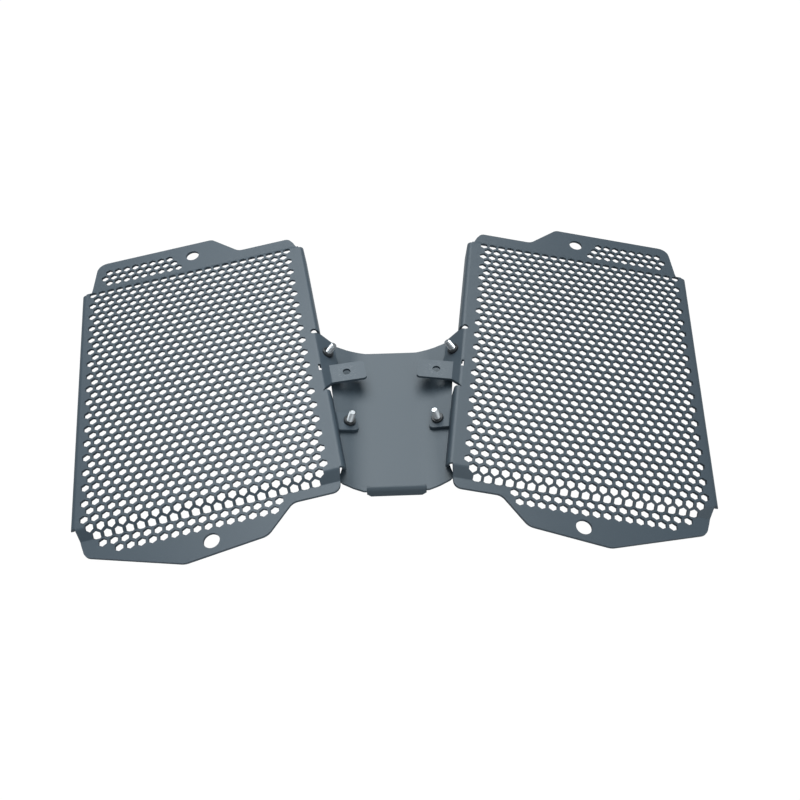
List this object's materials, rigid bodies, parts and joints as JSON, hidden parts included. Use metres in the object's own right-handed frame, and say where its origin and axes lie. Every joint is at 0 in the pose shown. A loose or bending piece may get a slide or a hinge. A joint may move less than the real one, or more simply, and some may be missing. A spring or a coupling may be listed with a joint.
{
  "type": "motorcycle radiator guard",
  "caption": "Two perforated, folded sheet guards joined by a rolled centre plate, with drilled end tabs that mount it over a pair of radiators.",
  "frame": {"origin": "centre of the overall box in plan, at the level of the outer flanges' bottom edges", "axes": "+X across both guards towards the right guard, +Y towards the top end of the guards, +Z out of the perforated faces"},
  "size_m": [0.5082, 0.3134, 0.0403],
  "materials": {
    "powder_coat": "satin",
    "plated_steel": "satin",
    "black_steel": "satin"
  },
  "bodies": {
    "root": {"left_guard": "powder_coat", "right_guard": "powder_coat", "centre_plate": "powder_coat", "nut_upper_left": "black_steel", "nut_upper_right": "black_steel", "nut_lower_left": "black_steel", "nut_lower_right": "black_steel", "screw_upper_left": "plated_steel", "screw_upper_right": "plated_steel", "screw_lower_left": "plated_steel", "screw_lower_right": "plated_steel"}
  },
  "joints": []
}
